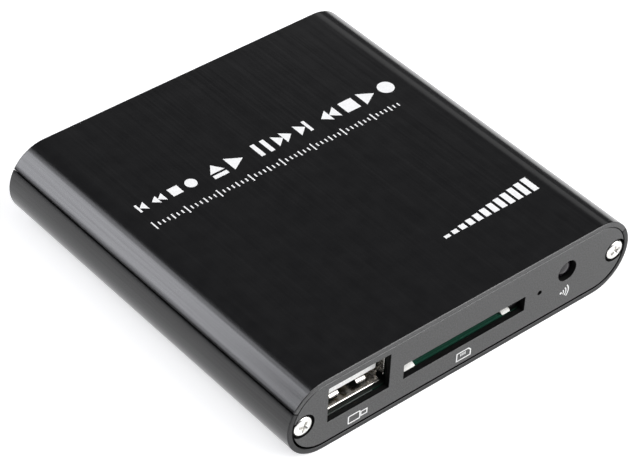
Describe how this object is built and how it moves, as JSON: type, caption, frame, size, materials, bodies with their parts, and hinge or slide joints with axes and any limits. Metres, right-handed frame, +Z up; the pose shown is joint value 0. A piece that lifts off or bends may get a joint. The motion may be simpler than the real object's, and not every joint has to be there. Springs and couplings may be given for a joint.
{
  "type": "media player",
  "caption": "Flat palm-sized media player with a round-sided case, grey end plates, data port, card slot, status light, remote window and rear picture, sound and power sockets.",
  "frame": {"origin": "middle of the underside, at the middle of the width and of the depth", "axes": "+Z up, the front plate faces -Y, +X to the right as seen from the front"},
  "size_m": [0.08, 0.0804, 0.016],
  "materials": {
    "case_black": "smooth black finish with a soft sheen on an extruded aluminium case",
    "panel_grey": "matt mid grey with a fine even grain",
    "screw_steel": "bright plated steel",
    "board_green": "dark green solder mask",
    "socket_metal": "bright tinned sheet metal",
    "contact_gold": "gold-plated spring metal",
    "white_plastic": "moulded white plastic",
    "black_plastic": "moulded black plastic",
    "slider_plastic": "moulded beige plastic",
    "chip_resin": "moulded black resin",
    "lens_resin": "dark filter resin",
    "light_resin": "clear tinted resin",
    "can_metal": "plain aluminium"
  },
  "bodies": {
    "case": {"upper_cover": "case_black", "lower_shell": "case_black", "front_panel": "panel_grey", "rear_panel": "panel_grey", "front_screw_left": "screw_steel", "front_screw_right": "screw_steel", "rear_screw_left": "screw_steel", "rear_screw_right": "screw_steel", "circuit_board": "board_green", "media_processor": "chip_resin", "heat_sink": "can_metal", "memory_chip": "chip_resin", "flash_chip": "chip_resin", "voltage_regulator": "chip_resin", "crystal": "can_metal", "power_inductor": "chip_resin", "capacitor_1": "can_metal", "capacitor_1_base": "chip_resin", "capacitor_2": "can_metal", "capacitor_2_base": "chip_resin", "capacitor_3": "can_metal", "capacitor_3_base": "chip_resin", "port_shell": "socket_metal", "port_insulator": "white_plastic", "port_contact_1": "contact_gold", "port_contact_2": "contact_gold", "port_contact_3": "contact_gold", "port_contact_4": "contact_gold", "card_socket_frame": "black_plastic", "card_socket_shield": "socket_metal", "socket_anchor_left": "socket_metal", "socket_anchor_right": "socket_metal", "card_contact_1": "contact_gold", "card_contact_2": "contact_gold", "card_contact_3": "contact_gold", "card_contact_4": "contact_gold", "card_contact_5": "contact_gold", "card_contact_6": "contact_gold", "card_contact_7": "contact_gold", "card_contact_8": "contact_gold", "card_contact_9": "contact_gold", "slider_spring": "screw_steel", "latch_pin": "screw_steel", "status_light": "light_resin", "light_lead_left": "socket_metal", "light_lead_right": "socket_metal", "remote_receiver": "lens_resin", "receiver_lead_1": "socket_metal", "receiver_lead_2": "socket_metal", "receiver_lead_3": "socket_metal", "video_socket_shell": "socket_metal", "video_socket_insulator": "black_plastic", "av_jack_body": "black_plastic", "av_jack_collar": "socket_metal", "power_jack_body": "black_plastic", "power_jack_pin": "socket_metal", "power_jack_leaf": "socket_metal"},
    "card_slider": {"card_slider": "slider_plastic"}
  },
  "joints": [
    {"name": "card_slide", "type": "slide", "parent": "case", "child": "card_slider", "axis": [0, 1, 0], "range_m": [0, 0.004], "stiffness_N_per_m": 150, "springref_m": -0.003, "deforming": ["slider_spring"]}
  ]
}
